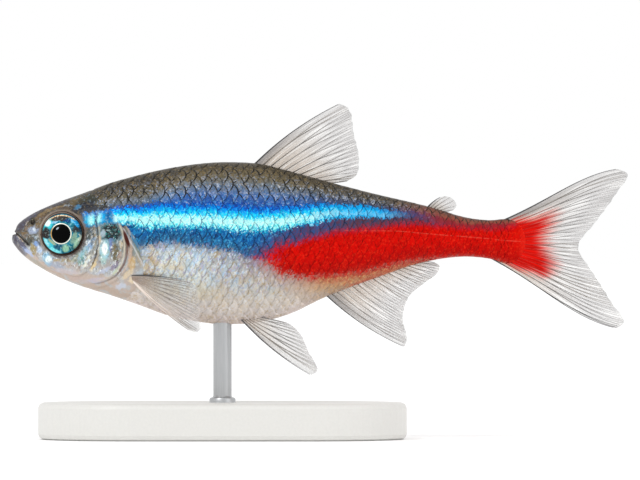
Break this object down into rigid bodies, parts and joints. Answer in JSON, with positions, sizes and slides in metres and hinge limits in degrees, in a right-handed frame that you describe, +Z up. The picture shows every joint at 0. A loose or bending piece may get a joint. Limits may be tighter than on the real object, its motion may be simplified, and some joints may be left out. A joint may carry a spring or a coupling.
{
  "type": "neon tetra model",
  "caption": "Life-size still model of a neon tetra with its fins spread, swimming level above a flat display base on a short rod.",
  "frame": {"origin": "under the middle of the whole model, at the level of the stand's foot", "axes": "+Z up; the fish swims towards -X, with its left side towards -Y and its tail at +X"},
  "size_m": [0.0401, 0.013, 0.0216],
  "materials": {
    "olive_back_skin": "satin",
    "silver_skin": "gloss",
    "blue_flank_skin": "gloss",
    "red_skin": "satin",
    "clear_fin": "satin",
    "eye_gloss": "gloss",
    "stand_white": "satin",
    "stand_steel": "satin"
  },
  "bodies": {
    "root": {"head": "olive_back_skin", "lower_jaw": "olive_back_skin", "gill_cover_left": "silver_skin", "gill_cover_right": "silver_skin", "trunk": "blue_flank_skin", "tail_stalk": "red_skin", "eye_left": "eye_gloss", "eye_right": "eye_gloss", "dorsal_fin": "clear_fin", "adipose_fin": "clear_fin", "anal_fin": "clear_fin", "tail_fin_upper": "clear_fin", "tail_fin_lower": "clear_fin", "pectoral_fin_left": "clear_fin", "pectoral_fin_right": "clear_fin", "pelvic_fin_left": "clear_fin", "pelvic_fin_right": "clear_fin", "stand_base": "stand_white", "stand_rod": "stand_steel"}
  },
  "joints": []
}
